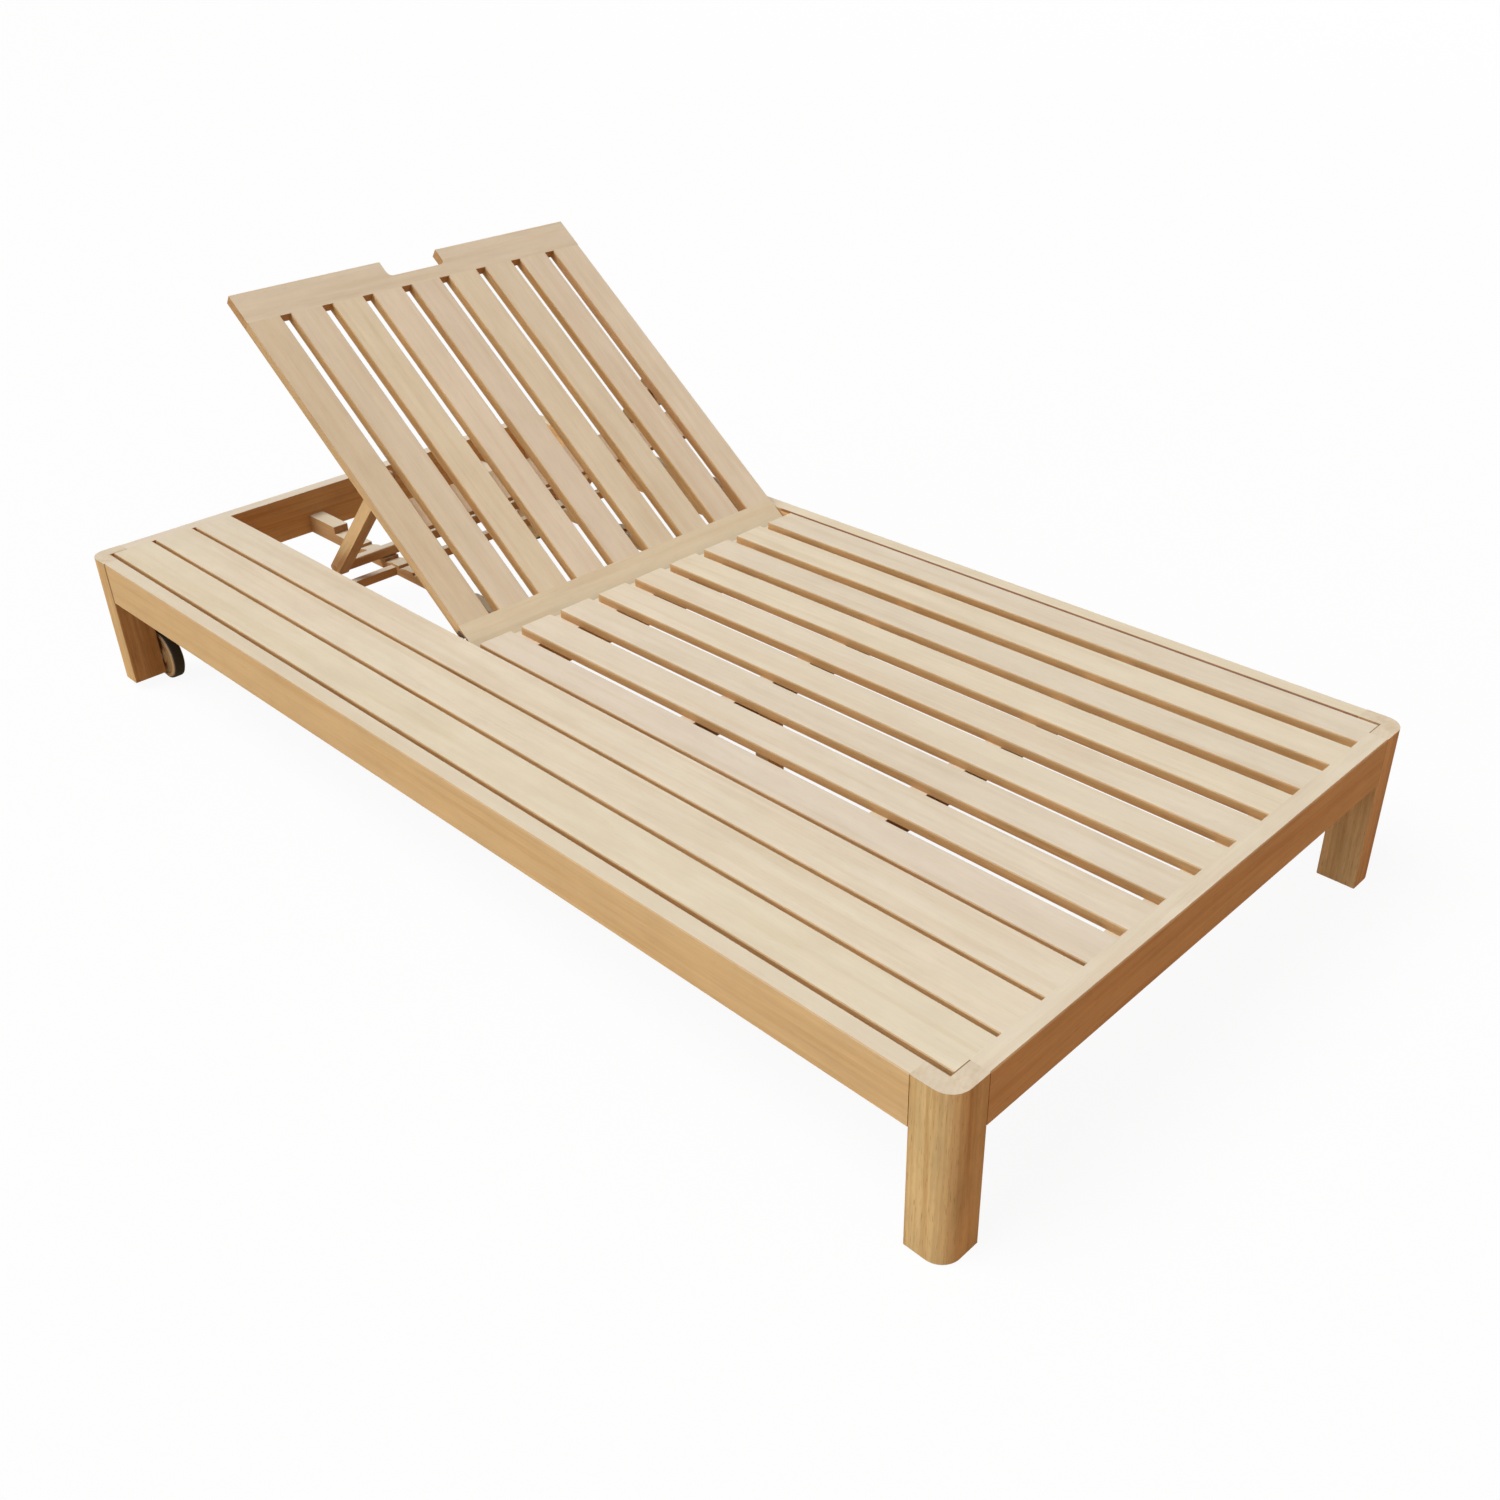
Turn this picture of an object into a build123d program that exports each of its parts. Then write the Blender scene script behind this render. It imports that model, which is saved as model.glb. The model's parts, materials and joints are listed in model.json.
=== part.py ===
from build123d import *
import math
import os

os.makedirs("parts", exist_ok=True)

# Double chaise lounger. The backrest tilts at -X (the head), the sitter's feet point to +X,
# a fixed side shelf runs along -Y (the near side) and the floor is at Z 0.

# Overall sizes
length = 2000.0
width = 1023.0
deck_height = 260.0

# Frame boards and posts
apron_thick = 28.0
apron_deep = 76.0
well_deep = 84.5
post_size = 60.0
post_round = 28.0
head_post_lift = 15.0
tenon_thick = 12.0
tenon_long = 24.0
tenon_shoulder = 12.0
edge_ease = 1.5
post_ease = 1.5
joint_ease = 1.0

# Deck
slat_thick = 14.0
thin_gap = 6.0
far_gap = 3.0
shelf_slat_width = 74.0
shelf_slat_count = 3
seat_slot = 20.0
seat_slat_count = 9
slat_ease = 1.2

# Cross pieces under the deck
cross_thick = 28.0
cross_deep = 42.0
ledger_deep = 40.0
hinge_rail_wide = 60.0
hinge_rail_deep = 54.0
seat_slat_setback = 11.5
seat_batten_places = (339.5, 710.5)
shelf_batten_places = (250.0, 510.0)
leg_thick = 28.0
leg_wide = 34.0
leg_step = 10.0
leg_tenon_high = 20.0
leg_tenon_thick = 12.0

# Backrest
back_length = 765.8
back_thick = 18.0
header_wide = 62.0
bottom_rail_wide = 52.2
back_clear = 10.2
back_over_post = 3.0
notch_wide = 121.3
notch_deep = 34.2
notch_round = 10.0
stub_long = 14.0
stub_thick = 6.0
stub_shoulder = 8.0
batten_low = 246.0
batten_high = 306.0
batten_thick = 15.0
batten_inset = 18.0
rest_angle = 37.13

# Hinges, one at each end of the backrest's bottom rail
hinge_from_edge = 28.0
hinge_pin_radius = 4.0
hinge_pin_deep = 20.0
bore_spare = 0.5
running_clearance = 0.05
leaf_thick = 2.0
fixed_leaf_radius = 8.0
fixed_leaf_drop = 45.0
moving_leaf_high = 12.0
moving_leaf_reach = (20.0, 14.0)
swing_clear = 1.1

# Prop
prop_pivot_up = 364.0
prop_pivot_drop = 15.0
prop_length = 310.2
arm_deep = 24.0
arm_thick = 24.0
arm_foot_ease = 3.0
arm_side_gap = 2.0
bar_size = 18.0
bar_over_rack = 2.0
bar_tenon_radius = 6.0
cleat_thick = 26.0
cleat_long = 64.0
cleat_below_pivot = 15.0
cleat_from_edge = 27.0
bolt_radius = 4.0
bolt_head_radius = 8.0
bolt_head_high = 4.0
bolt_head_bevel = 3.0
nut_gap = 0.3

# Racks
rack_thick = 21.0
rack_wide = 30.0
rack_block_long = 91.0
rack_block_rise = 14.5
near_rack_offset = 153.0
cross_rail_thick = 15.0
cross_rail_deep = 16.0
cross_rail_place = 287.0
notch_count = 9
notch_pitch = 46.0
rack_notch_long = 24.0
rack_notch_deep = 6.0
first_rack_notch = 128.0

# Wheels
wheel_radius = 48.0
wheel_wide = 24.7
tyre_thick = 9.0
tyre_shoulder = 3.0
wheel_dish = 3.0
wheel_hub_radius = 15.0
axle_inset = 9.0
axle_radius = 4.0
axle_depth = 30.0
collar_radius = 9.0
collar_thick = 2.0
wheel_side_gap = 0.3
nut_radius = 7.5
nut_high = 6.0

# Places along the length
head = -length / 2
foot = length / 2
well_head = head + apron_thick
deck_foot = foot - apron_thick
back_head = well_head + back_clear
back_foot = back_head + back_length
hinge_x = back_foot - hinge_from_edge

# Places across the width
near = -width / 2
far = width / 2
shelf_near = near + apron_thick + thin_gap
seat_near = shelf_near + shelf_slat_count * (shelf_slat_width + thin_gap)
shelf_far = seat_near - thin_gap
seat_far = far - apron_thick - far_gap
seat_middle = (seat_near + seat_far) / 2
seat_slat_width = (seat_far - seat_near - (seat_slat_count - 1) * seat_slot) / seat_slat_count

# Heights
slat_low = deck_height - slat_thick
apron_low = deck_height - apron_deep
well_low = deck_height - well_deep
back_low = deck_height - back_thick
rack_top = well_low + rack_thick
cross_rail_top = well_low + cross_rail_deep

# Hinge axis in the middle of the bottom rail's thickness, and the rail that its edge turns past
hinge_z = deck_height - back_thick / 2
hinge_axis = Axis((hinge_x, 0, hinge_z), (0, 1, 0))
edge_reach = math.hypot(hinge_from_edge, back_thick / 2)
rail_head = hinge_x + edge_reach + swing_clear
rail_foot = rail_head + hinge_rail_wide
seat_head = rail_head + seat_slat_setback

# Prop pivot while the backrest lies flat, and at rest
flat_pivot_x = back_foot - prop_pivot_up
flat_pivot_z = back_low - prop_pivot_drop
rest = math.radians(rest_angle)
pivot_back = hinge_x - flat_pivot_x
pivot_rise = flat_pivot_z - hinge_z
pivot_x = hinge_x - pivot_back * math.cos(rest) + pivot_rise * math.sin(rest)
pivot_z = hinge_z + pivot_back * math.sin(rest) + pivot_rise * math.cos(rest)
bar_z = rack_top + bar_over_rack + bar_size / 2
prop_slope = math.degrees(math.asin((pivot_z - bar_z) / prop_length))


def board(x, y, z):
    """A straight board between pairs of coordinates."""
    middle = ((x[0] + x[1]) / 2, (y[0] + y[1]) / 2, (z[0] + z[1]) / 2)
    return Pos(*middle) * Box(x[1] - x[0], y[1] - y[0], z[1] - z[0])


def top_edges(solid, axis):
    """The highest edges that run along an axis."""
    return solid.edges().filter_by(axis).group_by(Axis.Z)[-1]


def turned(profile, y):
    """A solid of revolution about the Y axis, from (radius, distance along Y) points."""
    outline = Polyline(*[(radius, along, 0) for radius, along in profile], close=True)
    return Pos(0, y, 0) * revolve(make_face(outline), Axis.Y)


def rod_y(radius, x, y, z):
    """A round rod along Y between two Y values."""
    return Pos(x, (y[0] + y[1]) / 2, z) * Rot(90, 0, 0) * Cylinder(radius, y[1] - y[0])


def hex_nut(radius, high, y):
    """A hexagonal nut about the Y axis."""
    return Pos(0, y, 0) * extrude(Plane.XZ * RegularPolygon(radius, 6), -high)


def group(solids):
    """Several separate solids as one node."""
    return Compound(children=list(solids))


def across(y):
    """The same place on the other side of the backrest's middle."""
    return 2 * seat_middle - y


# Frame


def long_apron(side):
    """An apron along the length, with a tenon at each end."""
    outer = side * width / 2
    inner = outer - side * apron_thick
    y = sorted((outer, inner))
    post_inner = length / 2 - post_size
    apron = board((-post_inner, post_inner), y, (apron_low, deck_height))
    apron = chamfer(top_edges(apron, Axis.X), edge_ease)
    middle = (outer + inner) / 2
    tenon_y = (middle - tenon_thick / 2, middle + tenon_thick / 2)
    tenon_z = (apron_low + tenon_shoulder, deck_height - slat_thick - tenon_shoulder)
    for end in (-1, 1):
        tenon_x = sorted((end * post_inner, end * (post_inner + tenon_long)))
        apron += board(tenon_x, tenon_y, tenon_z)
    return apron


def short_apron(side):
    """An apron across the width, with a tenon at each end; the one at the head is deeper."""
    outer = side * length / 2
    inner = outer - side * apron_thick
    x = sorted((outer, inner))
    low = well_low if side < 0 else apron_low
    post_inner = width / 2 - post_size
    apron = board(x, (-post_inner, post_inner), (low, deck_height))
    outer_edge = top_edges(apron, Axis.Y).sort_by(lambda edge: side * edge.center().X)[-1]
    apron = chamfer(outer_edge, edge_ease)
    middle = (outer + inner) / 2
    tenon_x = (middle - tenon_thick / 2, middle + tenon_thick / 2)
    tenon_z = (low + tenon_shoulder, deck_height - slat_thick - tenon_shoulder)
    for end in (-1, 1):
        tenon_y = sorted((end * post_inner, end * (post_inner + tenon_long)))
        apron += board(tenon_x, tenon_y, tenon_z)
    return apron


def post(end, side, aprons):
    """A corner post: rounded outside, and stepped down inside the aprons for the deck."""
    x = sorted((end * length / 2, end * (length / 2 - post_size)))
    y = sorted((side * width / 2, side * (width / 2 - post_size)))
    low = head_post_lift if end < 0 else 0
    leg = board(x, y, (low, deck_height))
    uprights = leg.edges().filter_by(Axis.Z)
    uprights = uprights.sort_by(lambda edge: end * edge.center().X + side * edge.center().Y)
    leg = chamfer(uprights[:-1], joint_ease)
    uprights = leg.edges().filter_by(Axis.Z)
    uprights = uprights.sort_by(lambda edge: end * edge.center().X + side * edge.center().Y)
    leg = fillet(uprights[-1], post_round)
    step_x = sorted((end * (length / 2 - post_size), end * (length / 2 - apron_thick)))
    step_y = sorted((side * (width / 2 - post_size), side * (width / 2 - apron_thick)))
    seat = slat_low
    if end < 0 and side > 0:
        seat = back_low - back_over_post
    leg -= board(step_x, step_y, (seat, deck_height))
    for face in (leg.faces().sort_by(Axis.Z)[-1], leg.faces().sort_by(Axis.Z)[0]):
        leg = chamfer(face.outer_wire().edges(), joint_ease)
    for apron in aprons:
        leg -= apron
    return leg


def deck_slat(x, y):
    """A deck slat with both long top edges eased."""
    slat = board(x, y, (slat_low, deck_height))
    return chamfer(top_edges(slat, Axis.X), slat_ease)


def cross_batten(place, y):
    """A batten on edge across the frame, under the slats."""
    return board((place, place + cross_thick), y, (slat_low - cross_deep, slat_low))


def centre_leg(batten):
    """The leg under the first seat batten, with a tenon into it."""
    x = (batten.bounding_box().min.X + leg_step, batten.bounding_box().min.X + leg_step + leg_thick)
    shoulder = batten.bounding_box().min.Z
    leg = board(x, (-leg_wide / 2, leg_wide / 2), (0, shoulder))
    leg = chamfer(leg.faces().sort_by(Axis.Z)[0].edges(), post_ease)
    tenon_middle = (x[0] + batten.bounding_box().max.X) / 2
    tenon_x = (tenon_middle - leg_tenon_thick / 2, tenon_middle + leg_tenon_thick / 2)
    tenon_y = (-leg_wide / 2 + post_ease, leg_wide / 2 - post_ease)
    return leg + board(tenon_x, tenon_y, (shoulder, shoulder + leg_tenon_high))


def rack(y):
    """A rack for the prop's bar: a raised block at the head, then sawtooth notches."""
    bar = board((well_head, rail_head), (y, y + rack_wide), (well_low, rack_top))
    block_x = (well_head, well_head + rack_block_long)
    bar += board(block_x, (y, y + rack_wide), (rack_top, rack_top + rack_block_rise))
    for tooth in range(notch_count):
        x = well_head + first_rack_notch + tooth * notch_pitch
        floor_z = rack_top - rack_notch_deep
        outline = Polyline((x, rack_top), (x, floor_z), (x + rack_notch_long, rack_top), close=True)
        notch = extrude(Plane.XZ * make_face(outline), -rack_wide)
        bar -= Pos(0, y, 0) * notch
    return bar


cross_rail_x = (well_head + cross_rail_place, well_head + cross_rail_place + cross_rail_thick)


def halving(y, low, high):
    """The block that a halving joint removes where a rack crosses the cross rail."""
    return board(cross_rail_x, (y, y + rack_wide), (low, high))


# Hinges


def fixed_leaf(y):
    """A round-topped plate on the wall beside the backrest, bored for its pin."""
    x = (hinge_x - fixed_leaf_radius, hinge_x + fixed_leaf_radius)
    leaf = board(x, y, (hinge_z - fixed_leaf_drop, hinge_z))
    leaf += rod_y(fixed_leaf_radius, hinge_x, y, hinge_z)
    return leaf - rod_y(hinge_pin_radius, hinge_x, y, hinge_z)


def moving_leaf(y):
    """A plate let into an end of the bottom rail, bored to turn on the pin, before it is tilted."""
    x = (hinge_x - moving_leaf_reach[0], hinge_x + moving_leaf_reach[1])
    z = (hinge_z - moving_leaf_high / 2, hinge_z + moving_leaf_high / 2)
    bore = rod_y(hinge_pin_radius + running_clearance, hinge_x, y, hinge_z)
    return board(x, y, z) - bore


def tilted(solid):
    """A piece of the backrest, modelled flat, at its rest angle."""
    return solid.rotate(hinge_axis, rest_angle)


# Backrest, modelled lying flat and then tilted about the hinge axis


def stub(x, y):
    """A stub tenon in the middle of the backrest's thickness."""
    z = (hinge_z - stub_thick / 2, hinge_z + stub_thick / 2)
    return board(x, (y[0] + stub_shoulder, y[1] - stub_shoulder), z)


def back_upright(y):
    """A stile or slat of the backrest with a stub tenon at each end."""
    x = (back_head + header_wide, back_foot - bottom_rail_wide)
    slat = board(x, y, (back_low, deck_height))
    slat = chamfer(top_edges(slat, Axis.X), slat_ease)
    slat += stub((x[0] - stub_long, x[0]), y)
    slat += stub((x[1], x[1] + stub_long), y)
    return slat


def header(uprights):
    """The wide top board, with a hand notch in its free edge."""
    x = (back_head, back_head + header_wide)
    top = board(x, (seat_near, seat_far), (back_low, deck_height))
    notch_y = (seat_middle - notch_wide / 2, seat_middle + notch_wide / 2)
    notch = board((back_head - notch_deep, back_head + notch_deep), notch_y, (back_low, deck_height))
    corners = notch.edges().filter_by(Axis.Z).group_by(Axis.X)[-1]
    top -= fillet(corners, notch_round)
    for upright in uprights:
        top -= upright
    return top


def bottom_rail(uprights, leaves):
    """The board that turns on the hinge pins, with a leaf let into each end."""
    rail = board((back_foot - bottom_rail_wide, back_foot), (seat_near, seat_far), (back_low, deck_height))
    for piece in (*uprights, *leaves):
        rail -= piece
    bore_radius = hinge_pin_radius + running_clearance
    bore_deep = hinge_pin_deep + bore_spare
    for span in ((seat_near, seat_near + bore_deep), (seat_far - bore_deep, seat_far)):
        rail -= rod_y(bore_radius, hinge_x, span, hinge_z)
    return rail


def back_batten():
    """The flat batten across the back of the slats."""
    x = (back_foot - batten_high, back_foot - batten_low)
    y = (seat_near + batten_inset, seat_far - batten_inset)
    batten = board(x, y, (back_low - batten_thick, back_low))
    lower_edges = batten.edges().filter_by(Axis.Y).group_by(Axis.Z)[0]
    return chamfer(lower_edges, edge_ease)


cleat_y = (seat_near + cleat_from_edge, seat_near + cleat_from_edge + cleat_thick)
arm_y = (cleat_y[1] + arm_side_gap, cleat_y[1] + arm_side_gap + arm_thick)


def prop_cleat(y):
    """A block under a stile that holds a pivot bolt."""
    x = (flat_pivot_x - cleat_long / 2, flat_pivot_x + cleat_long / 2)
    cleat = board(x, y, (flat_pivot_z - cleat_below_pivot, back_low))
    lower_corners = cleat.edges().filter_by(Axis.Y).group_by(Axis.Z)[0]
    cleat = chamfer(lower_corners, cleat_below_pivot)
    return cleat - rod_y(bolt_radius, flat_pivot_x, y, flat_pivot_z)


def prop_bolt(inward):
    """A pivot bolt with a bevelled head outside and a nut inside, pointing along +Y."""
    nut_start = cleat_thick + arm_side_gap + arm_thick + nut_gap
    profile = [
        (0, -bolt_head_high),
        (bolt_head_radius - bolt_head_bevel, -bolt_head_high),
        (bolt_head_radius, 0),
        (bolt_radius, 0),
        (bolt_radius, nut_start + bolt_head_high),
        (0, nut_start + bolt_head_high),
    ]
    bolt = turned(profile, 0) + hex_nut(bolt_head_radius, bolt_head_high, nut_start)
    if inward < 0:
        bolt = bolt.mirror(Plane.XZ)
    return bolt


# Prop, modelled level from its pivot towards the head and then swung down


def swung(solid):
    """A piece of the prop at its rest slope."""
    return solid.rotate(Axis((pivot_x, 0, pivot_z), (0, 1, 0)), -prop_slope)


def prop_arm(y):
    """An arm with a round upper end, bored for its bolt and for the foot bar's tenon."""
    bar_x = pivot_x - prop_length
    z = (pivot_z - arm_deep / 2, pivot_z + arm_deep / 2)
    arm = board((bar_x - arm_deep / 2, pivot_x), y, z)
    foot_corners = arm.edges().filter_by(Axis.Y).group_by(Axis.X)[0]
    arm = chamfer(foot_corners, arm_foot_ease)
    arm += rod_y(arm_deep / 2, pivot_x, y, pivot_z)
    arm -= rod_y(bolt_radius + running_clearance, pivot_x, y, pivot_z)
    arm -= rod_y(bar_tenon_radius, bar_x, y, pivot_z)
    return arm


def foot_bar(near_arm, far_arm):
    """The square bar between the arms, level at rest, with a round tenon at each end."""
    bar_x = pivot_x - prop_length
    z = (pivot_z - bar_size / 2, pivot_z + bar_size / 2)
    bar = board((bar_x - bar_size / 2, bar_x + bar_size / 2), (near_arm[1], far_arm[0]), z)
    bar = chamfer(bar.edges().filter_by(Axis.Y), post_ease)
    bar = bar.rotate(Axis((bar_x, 0, pivot_z), (0, 1, 0)), prop_slope)
    bar += rod_y(bar_tenon_radius, bar_x, near_arm, pivot_z)
    bar += rod_y(bar_tenon_radius, bar_x, far_arm, pivot_z)
    return bar


# Wheels


def mirrored_y(solid):
    """The same piece on the far side."""
    return solid.mirror(Plane.XZ)


wheel_x = head + post_size - axle_inset
wheel_z = wheel_radius
wheel_near = near + post_size + collar_thick + wheel_side_gap


def wheel_disc():
    """A wooden disc with a raised hub on both faces."""
    outer = wheel_radius - tyre_thick
    bore = axle_radius + running_clearance
    profile = [
        (bore, 0),
        (wheel_hub_radius, 0),
        (wheel_hub_radius + wheel_dish, wheel_dish),
        (outer, wheel_dish),
        (outer, wheel_wide - wheel_dish),
        (wheel_hub_radius + wheel_dish, wheel_wide - wheel_dish),
        (wheel_hub_radius, wheel_wide),
        (bore, wheel_wide),
    ]
    return Pos(wheel_x, 0, wheel_z) * turned(profile, wheel_near)


def tyre():
    """A rubber tyre with bevelled shoulders."""
    inner = wheel_radius - tyre_thick
    shoulder = wheel_radius - tyre_shoulder
    profile = [
        (inner, 0),
        (shoulder, 0),
        (wheel_radius, tyre_shoulder),
        (wheel_radius, wheel_wide - tyre_shoulder),
        (shoulder, wheel_wide),
        (inner, wheel_wide),
    ]
    return Pos(wheel_x, 0, wheel_z) * turned(profile, wheel_near)


def axle():
    """A bolt set in the post, with a collar, the wheel's bearing length and a hexagonal nut."""
    post_face = post_size
    collar_end = post_face + collar_thick
    nut_start = collar_end + wheel_wide + 2 * wheel_side_gap
    profile = [
        (0, post_face - axle_depth),
        (axle_radius, post_face - axle_depth),
        (axle_radius, post_face),
        (collar_radius, post_face),
        (collar_radius, collar_end),
        (axle_radius, collar_end),
        (axle_radius, nut_start + nut_high),
        (0, nut_start + nut_high),
    ]
    bolt = turned(profile, 0) + hex_nut(nut_radius, nut_high, nut_start)
    return Pos(wheel_x, near, wheel_z) * bolt


nodes = {}

# Aprons and posts
aprons = {
    "near_apron": long_apron(-1),
    "far_apron": long_apron(1),
    "head_apron": short_apron(-1),
    "foot_apron": short_apron(1),
}
nodes.update(aprons)
nodes["axle_near"] = axle()
nodes["axle_far"] = mirrored_y(nodes["axle_near"])
for end, end_name in ((-1, "head"), (1, "foot")):
    for side, side_name in ((-1, "near"), (1, "far")):
        leg = post(end, side, aprons.values())
        if end < 0:
            leg -= nodes[f"axle_{side_name}"]
        nodes[f"{end_name}_{side_name}_post"] = leg

# Deck slats
for number in range(shelf_slat_count):
    slat_y = shelf_near + number * (shelf_slat_width + thin_gap)
    slat_span = (slat_y, slat_y + shelf_slat_width)
    nodes[f"shelf_slat_{number + 1}"] = deck_slat((well_head, deck_foot), slat_span)
slat_spans = []
for number in range(seat_slat_count):
    slat_y = seat_near + number * (seat_slat_width + seat_slot)
    slat_spans.append((slat_y, slat_y + seat_slat_width))
    nodes[f"seat_slat_{number + 1}"] = deck_slat((seat_head, deck_foot), slat_spans[-1])

# Rails and battens under the deck
full_width = (near + apron_thick, far - apron_thick)
shelf_rail_y = (shelf_far - cross_thick, shelf_far)
rail_z = (slat_low - hinge_rail_deep, slat_low)
nodes["hinge_rail"] = board((rail_head, rail_foot), full_width, rail_z)
nodes["shelf_rail"] = board((well_head, rail_head), shelf_rail_y, (well_low, slat_low))
for number, place in enumerate(seat_batten_places):
    nodes[f"seat_batten_{number + 1}"] = cross_batten(rail_foot + place, full_width)
for number, place in enumerate(shelf_batten_places):
    shelf_batten_y = (near + apron_thick, shelf_rail_y[0])
    nodes[f"shelf_batten_{number + 1}"] = cross_batten(well_head + place, shelf_batten_y)
nodes["centre_leg"] = centre_leg(nodes["seat_batten_1"])
nodes["seat_batten_1"] -= nodes["centre_leg"]
ledger_z = (slat_low - ledger_deep, slat_low)
ledger_near = near + post_size
nodes["foot_ledger"] = board((deck_foot - cross_thick, deck_foot), (ledger_near, -ledger_near), ledger_z)
nodes["head_ledger"] = board((well_head, well_head + cross_thick), (ledger_near, shelf_rail_y[0]), ledger_z)

# Racks, halved over the cross rail
near_rack_y = seat_near + near_rack_offset
rack_places = {"near": near_rack_y, "far": across(near_rack_y + rack_wide)}
halving_level = well_low + cross_rail_deep / 2
cross_rail = board(cross_rail_x, (shelf_far, far - apron_thick), (well_low, cross_rail_top))
for side_name, rack_y in rack_places.items():
    nodes[f"rack_{side_name}"] = rack(rack_y) - halving(rack_y, well_low, halving_level)
    cross_rail -= halving(rack_y, halving_level, cross_rail_top)
nodes["rack_cross_rail"] = cross_rail

# Hinges
far_wall = far - apron_thick
fixed_leaf_spans = ((shelf_far, shelf_far + leaf_thick), (far_wall - leaf_thick, far_wall))
moving_leaf_spans = ((seat_near, seat_near + leaf_thick), (seat_far - leaf_thick, seat_far))
moving_leaves = [moving_leaf(span) for span in moving_leaf_spans]
nodes["hinge_leaves_fixed"] = group(fixed_leaf(span) for span in fixed_leaf_spans)
nodes["hinge_leaves_moving"] = group(tilted(leaf) for leaf in moving_leaves)
pin_spans = ((shelf_far, seat_near + hinge_pin_deep), (seat_far - hinge_pin_deep, far_wall))
nodes["hinge_pins"] = group(rod_y(hinge_pin_radius, hinge_x, span, hinge_z) for span in pin_spans)

# Backrest
uprights = [back_upright(span) for span in slat_spans]
nodes["back_header"] = tilted(header(uprights))
nodes["back_bottom_rail"] = tilted(bottom_rail(uprights, moving_leaves))
nodes["back_stile_near"] = tilted(uprights[0])
nodes["back_stile_far"] = tilted(uprights[-1])
for number, upright in enumerate(uprights[1:-1]):
    nodes[f"back_slat_{number + 1}"] = tilted(upright)
nodes["back_batten"] = tilted(back_batten())
far_cleat_y = (across(cleat_y[1]), across(cleat_y[0]))
nodes["prop_cleat_near"] = tilted(prop_cleat(cleat_y))
nodes["prop_cleat_far"] = tilted(prop_cleat(far_cleat_y))
nodes["prop_bolts"] = group([
    Pos(pivot_x, cleat_y[0], pivot_z) * prop_bolt(1),
    Pos(pivot_x, far_cleat_y[1], pivot_z) * prop_bolt(-1),
])

# Prop
far_arm_y = (across(arm_y[1]), across(arm_y[0]))
nodes["prop_arm_near"] = swung(prop_arm(arm_y))
nodes["prop_arm_far"] = swung(prop_arm(far_arm_y))
nodes["prop_foot_bar"] = swung(foot_bar(arm_y, far_arm_y))

# Wheels
nodes["wheel_near"] = wheel_disc()
nodes["wheel_far"] = mirrored_y(nodes["wheel_near"])
nodes["tyre_near"] = tyre()
nodes["tyre_far"] = mirrored_y(nodes["tyre_near"])

for name, shape in nodes.items():
    export_step(shape, f"parts/{name}.step")
print(len(nodes), "nodes")
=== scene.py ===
import json
import math
import random

import bpy
import bmesh
from mathutils import Matrix, Vector


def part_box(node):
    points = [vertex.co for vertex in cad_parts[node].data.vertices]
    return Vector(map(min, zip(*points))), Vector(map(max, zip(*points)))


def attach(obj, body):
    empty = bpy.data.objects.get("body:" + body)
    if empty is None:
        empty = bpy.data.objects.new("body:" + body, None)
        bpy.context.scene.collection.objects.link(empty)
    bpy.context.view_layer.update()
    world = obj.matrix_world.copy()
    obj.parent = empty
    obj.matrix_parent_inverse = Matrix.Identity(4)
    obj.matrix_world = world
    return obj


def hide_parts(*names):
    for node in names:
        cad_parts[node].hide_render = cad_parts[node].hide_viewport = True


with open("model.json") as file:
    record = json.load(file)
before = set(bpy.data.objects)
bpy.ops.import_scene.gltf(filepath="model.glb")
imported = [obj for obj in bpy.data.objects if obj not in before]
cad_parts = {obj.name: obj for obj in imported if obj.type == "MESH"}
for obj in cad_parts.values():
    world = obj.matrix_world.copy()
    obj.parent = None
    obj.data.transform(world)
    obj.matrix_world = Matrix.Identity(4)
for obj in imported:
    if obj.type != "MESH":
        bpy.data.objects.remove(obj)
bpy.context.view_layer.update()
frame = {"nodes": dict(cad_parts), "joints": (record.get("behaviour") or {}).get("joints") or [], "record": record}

cadNodes = frame["nodes"]
joints = {joint["name"]: joint for joint in frame["joints"]}
bodies = frame["record"]["behaviour"]["bodies"]
print("frame loaded:", len(cadNodes), "nodes")


def addObject(name, data):
    added = bpy.data.objects.new(name, data)
    bpy.context.scene.collection.objects.link(added)
    return added


camera = {
    "place": (1.65864, -1.41777, 1.36621),
    "azimuth": 45.45,
    "elevation": 31.75,
    "roll": -1.44,
    "imageSize": 1500,
    "focalPixels": 1503.11,
    "centrePixels": (764.41, 752.86),
    "sensor": 36.0,
    "farthest": 200.0,
}


def makeCamera():
    azimuth = math.radians(camera["azimuth"])
    elevation = math.radians(camera["elevation"])
    roll = math.radians(camera["roll"])
    level = math.cos(elevation)
    back = Vector((math.sin(azimuth) * level, -math.cos(azimuth) * level, math.sin(elevation)))
    right = Vector((0, 0, 1)).cross(back).normalized()
    up = back.cross(right)
    turnedRight = right * math.cos(roll) + up * math.sin(roll)
    turnedUp = up * math.cos(roll) - right * math.sin(roll)
    size = camera["imageSize"]
    centreX, centreY = camera["centrePixels"]
    data = bpy.data.cameras.new("camera")
    data.sensor_fit = "HORIZONTAL"
    data.sensor_width = camera["sensor"]
    data.lens = camera["focalPixels"] / size * camera["sensor"]
    data.shift_x = 0.5 - centreX / size
    data.shift_y = centreY / size - 0.5
    data.clip_end = camera["farthest"]
    eye = addObject("camera", data)
    axes = Matrix((turnedRight, turnedUp, back)).transposed().to_4x4()
    eye.matrix_world = Matrix.Translation(camera["place"]) @ axes
    bpy.context.scene.camera = eye


makeCamera()
print("camera made")


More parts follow.
